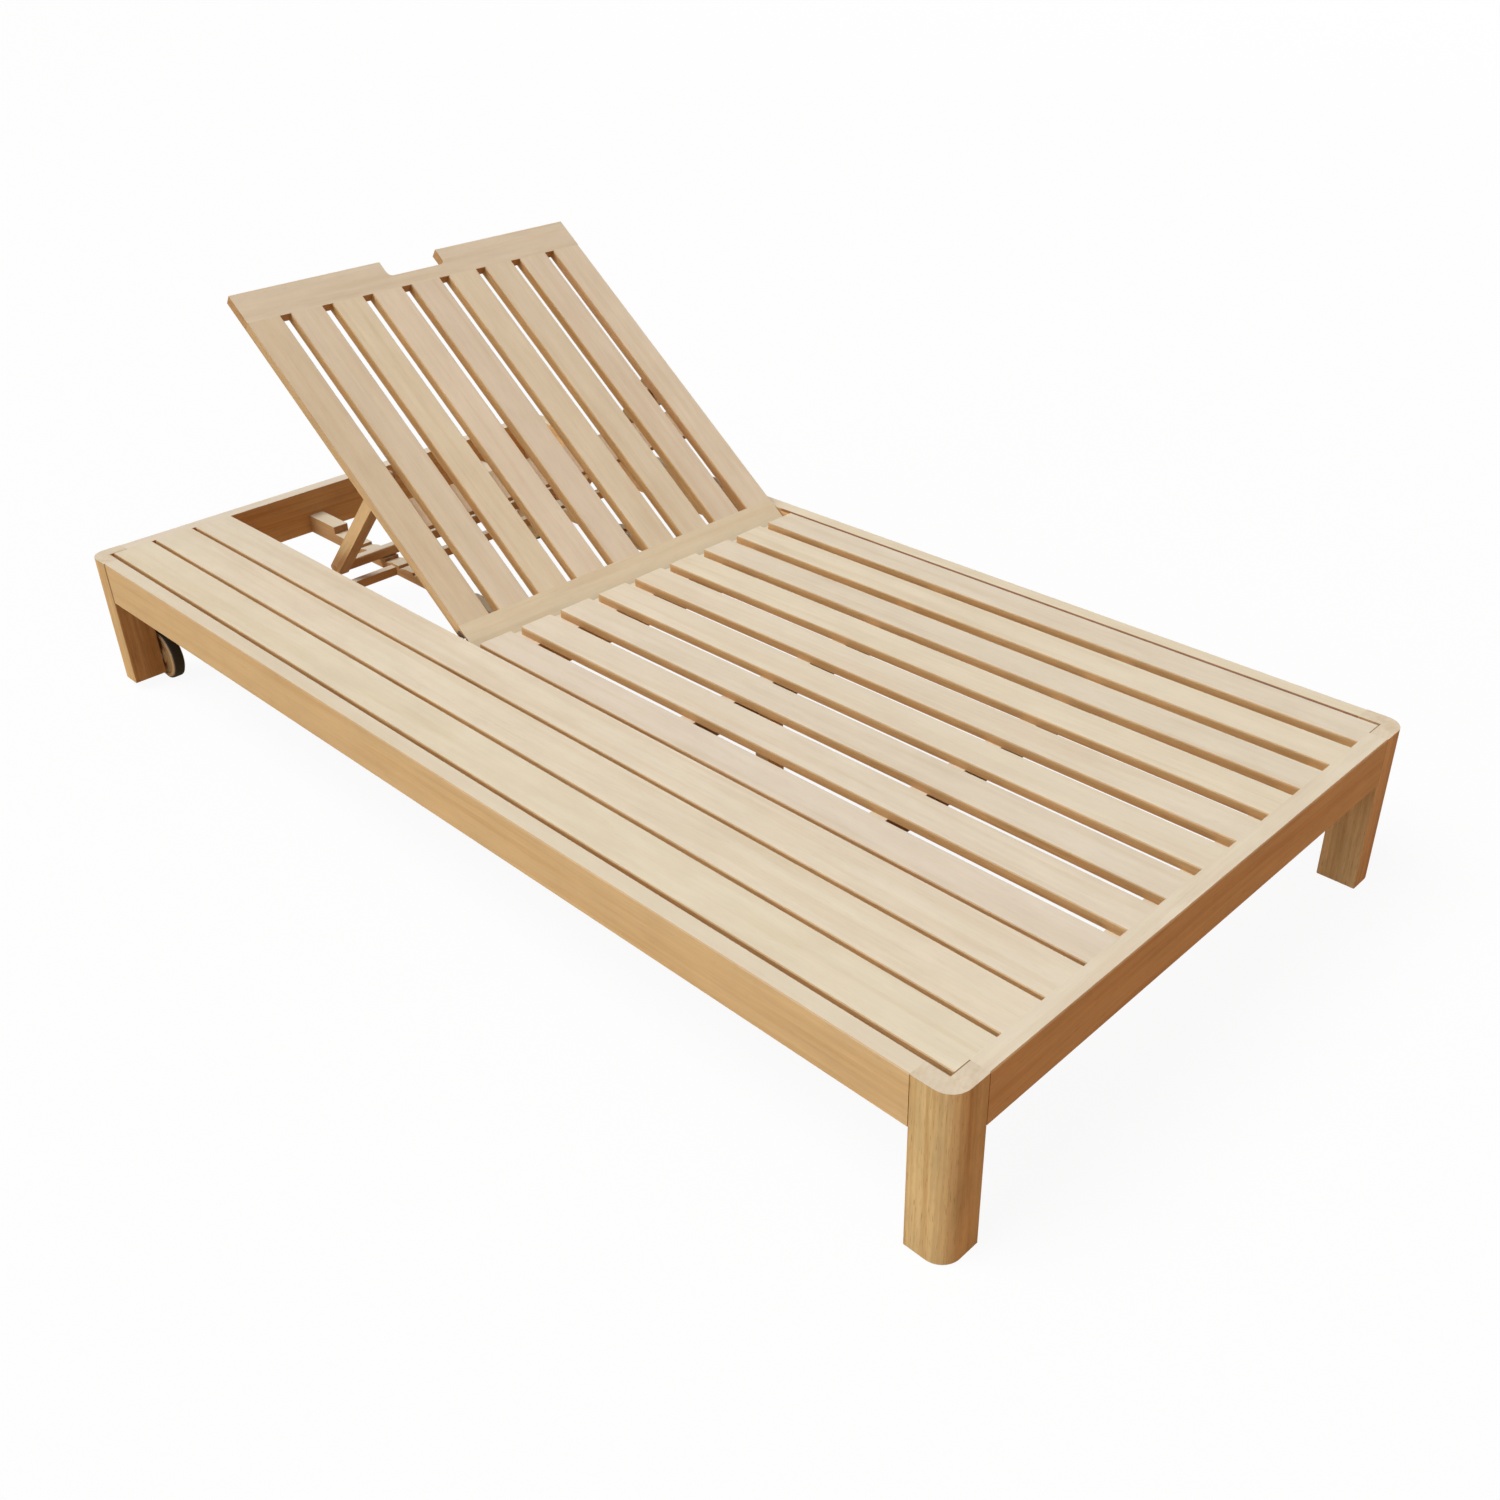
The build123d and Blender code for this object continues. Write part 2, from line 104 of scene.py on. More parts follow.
class Value:  # an output socket: arithmetic on it adds Math nodes
    def __init__(self, maker, socket):
        self.maker = maker
        self.socket = socket

    def math(self, operation, *others):
        sockets = dict(enumerate((self,) + others))
        return self.maker.add("ShaderNodeMath", {"operation": operation}, sockets)

    def __add__(self, other):
        return self.math("ADD", other)

    def __radd__(self, other):
        return self.math("ADD", other)

    def __sub__(self, other):
        return self.math("SUBTRACT", other)

    def __rsub__(self, other):
        return self.maker.add("ShaderNodeMath", {"operation": "SUBTRACT"}, {0: other, 1: self})

    def __mul__(self, other):
        return self.math("MULTIPLY", other)

    def __rmul__(self, other):
        return self.math("MULTIPLY", other)

    def __neg__(self):
        return self.math("MULTIPLY", -1.0)

    def __abs__(self):
        return self.math("ABSOLUTE")

    def atLeast(self, other):
        return self.math("MAXIMUM", other)

    def atMost(self, other):
        return self.math("MINIMUM", other)

    def ramp(self, start, end):  # 0 at start to 1 at end, smooth between
        settings = {"interpolation_type": "SMOOTHSTEP"}
        sockets = {"Value": self, "From Min": start, "From Max": end}
        return self.maker.add("ShaderNodeMapRange", settings, sockets)


class NodeMaker:
    def __init__(self, tree):
        self.tree = tree

    def node(self, kind, settings=None, sockets=None):
        node = self.tree.nodes.new(kind)
        for key, value in (settings or {}).items():
            setattr(node, key, value)
        for key, value in (sockets or {}).items():
            self.plug(node.inputs[key], value)
        return node

    def add(self, kind, settings=None, sockets=None, output=0):
        return Value(self, self.node(kind, settings, sockets).outputs[output])

    def plug(self, socket, value):
        if isinstance(value, list):  # several links into one socket
            for one in value:
                self.plug(socket, one)
        elif isinstance(value, Value):
            self.tree.links.new(value.socket, socket)
        elif socket.type == "RGBA" and len(value) == 3:
            socket.default_value = (*value, 1.0)
        else:
            socket.default_value = value


class Shader(NodeMaker):
    def __init__(self, name):
        self.material = bpy.data.materials.new(name)
        self.material.use_nodes = True
        super().__init__(self.material.node_tree)
        self.tree.nodes.clear()

    def mix(self, factor, first, second, blend="MIX"):
        settings = {"data_type": "RGBA", "blend_type": blend}
        return self.add("ShaderNodeMix", settings, {0: factor, 6: first, 7: second}, output=2)

    def stain(self, colour, mask, tint):
        return self.mix(mask, colour, tint, "MULTIPLY")

    def vectorMath(self, operation, first, second, output=0):
        settings = {"operation": operation}
        return self.add("ShaderNodeVectorMath", settings, {0: first, 1: second}, output)

    def scaled(self, colour, amount):
        sockets = {0: colour, "Scale": amount}
        return self.add("ShaderNodeVectorMath", {"operation": "SCALE"}, sockets)

    def turned(self, vector, turn, kind):
        sockets = {"Vector": vector, "Rotation": turn.to_euler()}
        return self.add("ShaderNodeMapping", {"vector_type": kind}, sockets)

    def split(self, vector):
        node = self.node("ShaderNodeSeparateXYZ", None, {0: vector})
        return [Value(self, output) for output in node.outputs]

    def noise(self, vector, stretch=None, scale=1.0, detail=2.0, roughness=0.5, distortion=0.0):
        if stretch:
            vector = self.vectorMath("MULTIPLY", vector, stretch)
        return self.add("ShaderNodeTexNoise", None, {
            "Vector": vector,
            "Scale": scale,
            "Detail": detail,
            "Roughness": roughness,
            "Distortion": distortion,
        })

    def bump(self, height, distance, strength):
        sockets = {"Height": height, "Distance": distance, "Strength": strength}
        return self.add("ShaderNodeBump", None, sockets)

    def finish(self, **sockets):  # a socket's name is given with _ for each space
        named = {key.replace("_", " "): value for key, value in sockets.items()}
        surface = self.add("ShaderNodeBsdfPrincipled", None, named)
        self.node("ShaderNodeOutputMaterial", None, {"Surface": surface})
        return self.material


restAngle = math.radians(abs(joints["backrest_hinge"]["range_deg"][0]))
backTilt = Matrix.Rotation(-restAngle, 3, "Y")  # lays the raised backrest flat
crossGrain = (
    "head_apron",
    "foot_apron",
    "hinge_rail",
    "batten",
    "ledger",
    "rack_cross",
    "foot_bar",
)


def propSlope():
    pivot = Vector(joints["prop_hinge"]["pos_m"])
    low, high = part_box("prop_foot_bar")
    middle = (low + high) / 2
    return math.atan2(pivot.z - middle.z, pivot.x - middle.x)


def grainTurn(name):  # turns part coordinates so that the grain runs along X
    cross = Matrix.Rotation(-math.pi / 2, 3, "Z")
    if name.endswith("_post") or name == "centre_leg" or name.startswith("wheel_"):
        return Matrix.Rotation(math.pi / 2, 3, "Y")
    if name in ("back_header", "back_bottom_rail", "back_batten"):
        return cross @ backTilt
    if name.startswith(("back_", "prop_cleat")):
        return backTilt
    if name.startswith("prop_arm"):
        return Matrix.Rotation(propSlope(), 3, "Y")
    if any(word in name for word in crossGrain):
        return cross
    return Matrix.Identity(3)


def localBox(name, turn):
    corners = [turn @ vertex.co for vertex in cadNodes[name].data.vertices]
    low = Vector([min(corner[axis] for corner in corners) for axis in range(3)])
    high = Vector([max(corner[axis] for corner in corners) for axis in range(3)])
    return (low + high) / 2, (high - low) / 2


# painted shadow lines where boards meet, dark as if the joints stood open: a wide one where the long aprons meet
# the head posts, hairlines elsewhere
seamShadow = {
    "tint": (0.42, 0.28, 0.17),
    "headEnd": (0.0060, 1.0),  # half width and darkness of the painted shadow line where the long aprons meet the head posts
    "otherEnds": (0.0009, 0.1),
    "core": 0.6,  # how much of the half width is at full darkness
    "corner": 0.0010,  # the painted shadow line round the slats in a post's top
    "arrisShadow": (0.0014, 0.0020),  # a painted shadow line on the far apron's inner top edge, beside the seat
    "arrisFade": 0.02,
    "arrisDrop": (-0.005, -0.004),
}


# painted shadow lines across the apron's sides at its ends, and along the far apron's inner top edge
def apronSeamShadows(name, places, up):
    first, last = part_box("head_near_post")[1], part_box("foot_far_post")[0]
    axis = 0 if name in ("near_apron", "far_apron") else 1
    atFirst = seamShadow["headEnd"] if axis == 0 else seamShadow["otherEnds"]
    masks = []
    for end, (wide, dark) in ((first[axis], atFirst), (last[axis], seamShadow["otherEnds"])):
        masks.append((1 - abs(places[axis] - end).ramp(wide * seamShadow["core"], wide)) * dark)
    ends = masks[0].atLeast(masks[1]) * (1 - up)
    if name != "far_apron":
        return ends
    low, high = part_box(name)
    arrisShadow = 1 - (places[1] - low.y).ramp(*seamShadow["arrisShadow"])
    hingeX = joints["backrest_hinge"]["pos_m"][0]
    besideSeat = (places[0] - hingeX).ramp(0.0, seamShadow["arrisFade"])
    return ends.atLeast(arrisShadow * besideSeat * (places[2] - high.z).ramp(*seamShadow["arrisDrop"]))


# painted shadow line on the post's top, round the boards that meet it
def postSeamShadow(name, places, up):
    x, y, z = places
    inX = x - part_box("head_apron")[1].x if "head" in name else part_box("foot_apron")[0].x - x
    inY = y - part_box("near_apron")[1].y if "near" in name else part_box("far_apron")[0].y - y
    return (1 - (-inX).atLeast(-inY).ramp(seamShadow["corner"], seamShadow["corner"] * 2)) * up


wood = {
    "bleachedAndLit": (0.666, 0.588, 0.462),  # faces that look up: paler, partly sun bleaching and partly painted light from above
    "honey": (0.555, 0.322, 0.145),  # sides and undersides
    "facing": (0.60, 0.95),  # cosine to straight up where the paler top tone starts, and where it is full
    "depth": {  # multiplies the honey tone where the name holds the word: partly each board's own tone, partly painted shade, darkening pieces that sit in shadow such as the battens, ledger and wheels
        "wheel_": (0.70, 0.70, 0.70),
        "centre_leg": (0.90, 0.90, 0.90),
        "rack_": (0.95, 0.95, 0.95),
        "prop_foot_bar": (0.90, 0.90, 0.90),
        "back_stile_near": (0.80, 0.80, 0.80),
        "back_header": (0.88, 0.88, 0.88),
        "seat_batten": (0.42, 0.38, 0.31),
        "foot_ledger": (0.60, 0.56, 0.48),
        "back_batten": (0.80, 0.78, 0.72),
        "shelf_slat": (0.94, 0.96, 0.92),
        "near_apron": (0.97, 1.00, 1.04),
        "foot_apron": (0.94, 0.92, 0.86),
        "head_apron": (1.14, 1.14, 1.10),
        "far_apron": (1.16, 1.12, 1.10),
        "head_near_post": (0.94, 0.94, 0.90),
        "foot_near_post": (0.97, 1.05, 1.05),
        "seat_slat": (0.93, 0.93, 0.90),
        "back_slat": (1.05, 1.11, 1.07),
    },
    "tint": {  # multiplies the paler top tone: partly each board's own tone, partly painted light, as on the bottom rail, brightened as if lit from the deck
        "back_header": (1.06, 1.07, 1.09),
        "back_stile_near": (0.97, 0.94, 0.90),
        "back_stile_far": (1.08, 1.10, 1.07),
        "back_slat": (1.05, 1.06, 1.04),
        "back_bottom_rail": (1.08, 1.10, 1.04),
    },
    "figure": {"_post": 1.4, "near_apron": 0.6},  # how boldly the grain shows
    "warmth": (0.0, 0.008, -0.030),  # a warmer board's change in red, green and blue
    "shadeSpread": 0.025,
    "patterns": {  # stretch: along the grain first, then across it
        "wander": {"stretch": (1.1, 9.0, 9.0), "detail": 1.0},
        "ripple": {"stretch": (4.0, 30.0, 30.0)},
        "streak": {"stretch": (4.0, 130.0, 130.0), "detail": 3.0, "roughness": 0.6},
        "fibre": {"stretch": (22.0, 520.0, 520.0), "detail": 3.0, "roughness": 0.65},
        "blotch": {"stretch": (11.0, 26.0, 26.0), "detail": 3.0, "roughness": 0.6},
        "band": {
            "stretch": (1.6, 48.0, 48.0),
            "detail": 3.0,
            "roughness": 0.6,
            "distortion": 0.4,
        },
        "pore": {"stretch": (55.0, 1100.0, 1100.0), "detail": 1.0},
        "rubAndGlint": {"scale": 60.0},
    },
    "edges": {"band": (0.44, 0.68), "pore": (0.60, 0.74), "rubAndGlint": (0.3, 0.7)},
    "patternOffset": 30.0,  # each board is cut from another place in the patterns
    "firstSeed": 100,
    "tone": {"streak": 0.26, "fibre": 0.26, "blotch": 0.34},  # light and dark along the grain
    "topToneBlotch": 0.10,
    "calmTops": 0.62,  # how much of the figure the paler, lit top faces lose
    "late": {"strength": 0.30, "tint": (0.84, 0.74, 0.60)},
    "band": {"strength": 0.80, "tint": (0.85, 0.75, 0.61)},
    "pore": {"strength": 0.45, "tint": (0.62, 0.50, 0.38)},
    # lighter arrises: partly wear, partly a painted highlight
    "rubAndGlint": {"strength": 0.13, "tint": (1.12, 1.16, 1.22), "width": 0.0018},
    "end": {"strength": 0.8, "tint": (0.80, 0.68, 0.56), "onTops": 0.75, "facing": (0.6, 0.9)},
    # painted shade on the eased edges, between the lit tops and the sides
    "easeShade": {"tint": (0.74, 0.68, 0.60)},
    # painted highlight: the outer ring of each wheel's disc is lightened as if lit while the rest lies in shade
    "rim": {"tint": (1.20, 1.22, 1.40), "start": 0.0405, "fade": 0.003},
    "roughness": 0.56,
    "fibreRoughness": 0.22,
    "lateGloss": 0.05,
    "rubGloss": 0.08,
    "specular": 0.35,
    "relief": {"fibre": 0.55, "streak": 0.25, "late": -0.25, "pore": -0.35},
    "bump": (0.0006, 0.35),  # distance and strength
}

rings = {
    "perMetre": 130.0,
    "pithDepth": 0.075,
    "pithRange": (0.7, 1.8),  # of that depth
    "pithAside": 1.2,  # of the board's half width
    "lean": 0.028,
    "wander": 0.030,
    "ripple": 0.005,
    "wanderTurns": 4.0,
    "rippleTurns": 1.6,
    "lateStart": 0.10,
    "latePeak": 0.88,
}


def pieceValue(table, name, usual):
    return next((value for word, value in table.items() if word in name), usual)


def upMask(shader, name, normal):  # how far a face looks up, for the paler tops: partly sun bleaching, partly painted light from above
    up = Vector((0, 0, 1))
    if name in bodies["backrest"]:
        up = backTilt.inverted() @ up
    return shader.vectorMath("DOT_PRODUCT", normal, up, output=1).ramp(*wood["facing"])


def lateWood(box, draw, places, wander, ripple):  # rings about a pith that leans under the board
    centre, half = box
    x, y, z = places
    lean = draw.uniform(-rings["lean"], rings["lean"])
    pithY = centre.y + draw.uniform(-rings["pithAside"], rings["pithAside"]) * half.y
    pithZ = centre.z - rings["pithDepth"] * draw.uniform(*rings["pithRange"])
    across = y - pithY + wander * rings["wander"]
    upwards = z - pithZ + (x - centre.x) * lean + ripple * rings["ripple"]
    radius = (across * across + upwards * upwards).math("SQRT")
    turns = radius * rings["perMetre"] + wander * rings["wanderTurns"]
    ring = (turns + ripple * rings["rippleTurns"]).math("FRACT")
    peak = rings["latePeak"]
    return ring.ramp(rings["lateStart"], peak) * (1 - ring.ramp(peak, 1.0))


def boardTones(name, draw):
    warmth = draw.uniform(-1.0, 1.0)
    shade = 1.0 + draw.uniform(-wood["shadeSpread"], wood["shadeSpread"])
    tint = pieceValue(wood["tint"], name, (1.0, 1.0, 1.0))
    depth = pieceValue(wood["depth"], name, (1.0, 1.0, 1.0))
    parts = zip(wood["bleachedAndLit"], tint, wood["warmth"])
    bleachedAndLit = [part * shade * factor * (1.0 + change * warmth) for part, factor, change in parts]
    honey = [part * shade * factor for part, factor in zip(wood["honey"], depth)]
    return tuple(bleachedAndLit), tuple(honey)


def rubbedAndLitEdges(box, places):  # 1 on the arrises, where two faces meet: worn lighter, and partly a painted highlight
    gapX, gapY, gapZ = [half - abs(at - middle) for at, middle, half in zip(places, *box)]
    second = gapX.atMost(gapY).atLeast(gapX.atLeast(gapY).atMost(gapZ))
    return 1 - second.ramp(0.0, wood["rubAndGlint"]["width"])


def woodMaterial(name, seed):
    draw = random.Random(seed)
    turn = grainTurn(name)
    box = localBox(name, turn)
    spread = wood["patternOffset"]
    offset = Vector([draw.uniform(-spread, spread) for axis in range(3)])
    shader = Shader("wood_" + name)
    coordinates = shader.add("ShaderNodeTexCoord", output="Object")
    normal = shader.add("ShaderNodeTexCoord", output="Normal")
    local = shader.turned(coordinates, turn, "POINT")
    moved = shader.vectorMath("ADD", local, offset)
    pattern = {mark: shader.noise(moved, **look) for mark, look in wood["patterns"].items()}
    for mark, (start, end) in wood["edges"].items():
        pattern[mark] = pattern[mark].ramp(start, end)
    swing = {mark: value - 0.5 for mark, value in pattern.items() if mark not in wood["edges"]}
    places = shader.split(local)
    late = lateWood(box, draw, places, swing["wander"], swing["ripple"])
    bleachedAndLit, honey = boardTones(name, draw)

    up = upMask(shader, name, normal)
    bold = (1.0 - up * wood["calmTops"]) * pieceValue(wood["figure"], name, 1.0)
    blotched = 1.0 - wood["topToneBlotch"] + wood["topToneBlotch"] * pattern["blotch"]
    # painted light from above, with sun bleaching: faces that look up take the paler tone
    colour = shader.mix(up * blotched, honey, bleachedAndLit)
    end = wood["end"]
    endFace = abs(shader.split(shader.turned(normal, turn, "VECTOR"))[0]).ramp(*end["facing"])
    endMask = endFace * (1 - up * end["onTops"]) * end["strength"]
    colour = shader.stain(colour, endMask, end["tint"])
    for mark, mask in (("late", late), ("band", pattern["band"]), ("pore", pattern["pore"])):
        strong = (mask * bold * wood[mark]["strength"]).atMost(1.0)
        colour = shader.stain(colour, strong, wood[mark]["tint"])
    streak, fibre, blotch = [swing[mark] * weight for mark, weight in wood["tone"].items()]
    colour = shader.scaled(colour, 1.0 + bold * (streak + fibre + blotch))

    # worn edges with a painted highlight, lighter and glossier
    rubbedAndLit = rubbedAndLitEdges(box, places) * pattern["rubAndGlint"]
    colour = shader.stain(colour, rubbedAndLit * wood["rubAndGlint"]["strength"], wood["rubAndGlint"]["tint"])
    # painted shade darkens the eased edges, strongest halfway between top and side
    colour = shader.stain(colour, up * (1 - up) * 4.0, wood["easeShade"]["tint"])  # 1 halfway up
    # painted shadow lines at the joints of aprons and posts
    if name.endswith("_apron"):
        mask = apronSeamShadows(name, shader.split(coordinates), up)
        colour = shader.stain(colour, mask, seamShadow["tint"])
    elif name.endswith("_post"):
        mask = postSeamShadow(name, shader.split(coordinates), up)
        colour = shader.stain(colour, mask, seamShadow["tint"])
    elif name.startswith("wheel_"):
        # painted highlight on the outer ring of the disc
        rim = wood["rim"]
        away = shader.vectorMath("DISTANCE", local, box[0], output=1)
        mask = away.ramp(rim["start"], rim["start"] + rim["fade"])
        colour = shader.stain(colour, mask, rim["tint"])

    relief = wood["relief"]
    height = pattern["fibre"] * relief["fibre"] + pattern["streak"] * relief["streak"]
    height = height + late * relief["late"] + pattern["pore"] * relief["pore"]
    gloss = late * wood["lateGloss"] + rubbedAndLit * wood["rubGloss"]
    return shader.finish(
        Base_Color=colour,
        Roughness=wood["roughness"] + swing["fibre"] * wood["fibreRoughness"] - gloss,
        Normal=shader.bump(height, *wood["bump"]),
        Specular_IOR_Level=wood["specular"],
    )


steel = {
    "colour": (0.56, 0.55, 0.52),
    "dull": (0.30, 0.28, 0.25),
    "cloud": {"scale": 55.0, "detail": 4.0, "roughness": 0.65},
    "cloudEdges": (0.45, 0.75),
    "cloudStrength": 0.6,
    "spots": {"scale": 240.0},
    "spotEdges": (0.60, 0.75),
    "spotStrength": 0.3,
    "scratch": {"stretch": (260.0, 2400.0, 260.0)},
    "roughness": 0.34,
    "cloudRoughness": 0.25,
    "spotRoughness": 0.15,
    "bump": (0.0002, 0.25),  # distance and strength
    "pieces": ("hinge_leaves", "hinge_pins", "prop_bolts", "axle_"),
}


def steelMaterial():
    shader = Shader("steel")
    place = shader.add("ShaderNodeTexCoord", output="Object")
    cloud = shader.noise(place, **steel["cloud"])
    spots = shader.noise(place, **steel["spots"]).ramp(*steel["spotEdges"])
    scratch = shader.noise(place, **steel["scratch"])
    clouded = cloud.ramp(*steel["cloudEdges"]) * steel["cloudStrength"]
    dulled = clouded + spots * steel["spotStrength"]
    rough = (cloud - 0.5) * steel["cloudRoughness"] + spots * steel["spotRoughness"]
    return shader.finish(
        Base_Color=shader.mix(dulled, steel["colour"], steel["dull"]),
        Metallic=1.0,
        Roughness=steel["roughness"] + rough,
        Normal=shader.bump(scratch, *steel["bump"]),
    )


rubber = {
    "colour": (0.022, 0.018, 0.009),
    "dust": (0.060, 0.048, 0.028),
    "dustCloud": {"scale": 48.0, "detail": 4.0, "roughness": 0.7},
    "dustEdges": (0.5, 0.8),
    "dustStrength": 0.5,
    "pebble": {"scale": 900.0},
    "roughness": 0.72,
    "pebbleRoughness": 0.2,
    "bump": (0.0003, 0.5),  # distance and strength
}


def rubberMaterial():
    shader = Shader("rubber")
    place = shader.add("ShaderNodeTexCoord", output="Object")
    dust = shader.noise(place, **rubber["dustCloud"]).ramp(*rubber["dustEdges"])
    pebble = shader.noise(place, **rubber["pebble"])
    return shader.finish(
        Base_Color=shader.mix(dust * rubber["dustStrength"], rubber["colour"], rubber["dust"]),
        Roughness=rubber["roughness"] + (pebble - 0.5) * rubber["pebbleRoughness"],
        Normal=shader.bump(pebble, *rubber["bump"]),
    )


def dress(name, material):
    slots = cadNodes[name].material_slots
    if not slots:
        cadNodes[name].data.materials.append(material)
    for slot in slots:
        slot.material = material


steelFinish = steelMaterial()
rubberFinish = rubberMaterial()
for number, name in enumerate(sorted(cadNodes)):
    if name.startswith(steel["pieces"]):
        dress(name, steelFinish)
    elif name.startswith("tyre_"):
        dress(name, rubberFinish)
    else:
        dress(name, woodMaterial(name, wood["firstSeed"] + number))
print("materials made:", len(bpy.data.materials))


# each wheel is a turned disc with a thin rubber band round it
wheel = {
    "segments": 96,
    "sharpAngle": 35.0,
    "arcSteps": 6,
    "bore": 0.00405,
    "hub": 0.015,
    "dish": 0.003,
    "dishOuter": 0.036,
    "discRadius": 0.0448,
    "rimSet": 0.0006,  # how far the rim lies in from the hub's face
    "rimRound": 0.0028,
    "bandSet": 0.0002,  # how far the band lies in from the rim's rounding
    "bandOverlap": 0.0008,
    "bandShoulder": 0.0012,
    "crown": 0.0004,
    "crownEdge": (0.3, 2.5),  # of the crown's height and of the shoulder
    "crownFlat": 0.38,  # of the band's width
    "woodSeed": 71,
}


def arc(centre, radius, start, end):
    steps = wheel["arcSteps"]
    angles = [math.radians(start + (end - start) * step / steps) for step in range(steps + 1)]
    return [(centre[0] + radius * math.cos(a), centre[1] + radius * math.sin(a)) for a in angles]


def turnedPiece(name, half, wide, node, material):  # spins (radius, depth) points about the axle
    low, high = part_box(node)
    middle = (low + high) / 2
    profile = half + [(radius, wide - depth) for radius, depth in reversed(half)]
    shape = bmesh.new()
    spun = []
    for step in range(wheel["segments"]):
        angle = 2 * math.pi * step / wheel["segments"]
        across, upwards = math.cos(angle), math.sin(angle)
        places = [
            (middle.x + radius * across, low.y + depth, middle.z + radius * upwards)
            for radius, depth in profile
        ]
        spun.append([shape.verts.new(place) for place in places])
    for ring, following in zip(spun, spun[1:] + spun[:1]):
        for at in range(len(profile)):
            then = (at + 1) % len(profile)
            shape.faces.new((ring[at], ring[then], following[then], following[at]))
    bmesh.ops.recalc_face_normals(shape, faces=shape.faces)
    for face in shape.faces:
        face.smooth = True
    mesh = bpy.data.meshes.new(name)
    shape.to_mesh(mesh)
    shape.free()
    mesh.set_sharp_from_angle(angle=math.radians(wheel["sharpAngle"]))
    mesh.materials.append(material)
    return addObject(name, mesh)


def discOutline():
    disc, rounding, dish = wheel["discRadius"], wheel["rimRound"], wheel["dish"]
    outline = [(wheel["bore"], 0.0), (wheel["hub"], 0.0), (wheel["hub"] + dish, dish)]
    outline += [(wheel["dishOuter"], dish), (wheel["dishOuter"] + dish, wheel["rimSet"])]
    rim = arc((disc - rounding, rounding), rounding, -90, 0)
    return outline + [(radius, depth + wheel["rimSet"]) for radius, depth in rim]


def bandOutline(outer, wide):
    start, shoulder = wheel["rimRound"] + wheel["bandSet"], wheel["bandShoulder"]
    edge = outer - wheel["crown"] - shoulder
    crownPart, shoulderPart = wheel["crownEdge"]
    outline = [(wheel["discRadius"] - wheel["bandOverlap"], start), (edge, start)]
    outline += arc((edge, start + shoulder), shoulder, -90, 0)
    outline.append((outer - wheel["crown"] * crownPart, start + shoulder * shoulderPart))
    return outline + [(outer, wide * wheel["crownFlat"])]


def makeWheel(side):
    low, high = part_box("tyre_" + side)
    wide, outer = high.y - low.y, (high.z - low.z) / 2
    timber = woodMaterial("wheel_" + side, wheel["woodSeed"])
    for part, outline, node, material, slot in (
        ("wheel_disc_", discOutline(), "wheel_", timber, "wheel_timber"),
        ("wheel_band_", bandOutline(outer, wide), "tyre_", rubberFinish, "tyre_rubber"),
    ):
        piece = turnedPiece(part + side, outline, wide, node + side, material)
        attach(piece, "wheel_" + side + "_body")
        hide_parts(node + side)


makeWheel("near")
makeWheel("far")
print("wheels turned")


screw = {
    "radius": 0.0033,
    "taper": 0.88,
    "proud": 0.0004,
    "sink": 0.0012,
    "recessLong": 0.0040,
    "recessWide": 0.0009,
    "recessDeep": 0.0009,
    "sides": 14,
    "seed": 7,
    "leastOverlap": 0.008,  # boards that share less than this aren't screwed together
    "pairWidth": 0.055,  # a wider board gets two screws
    "pairSpread": 0.016,
    "hingeDrops": (0.019, 0.036),
    "hingeLeaf": 0.002,
    "cleatSpread": 0.68,  # of the cleat's half length
}


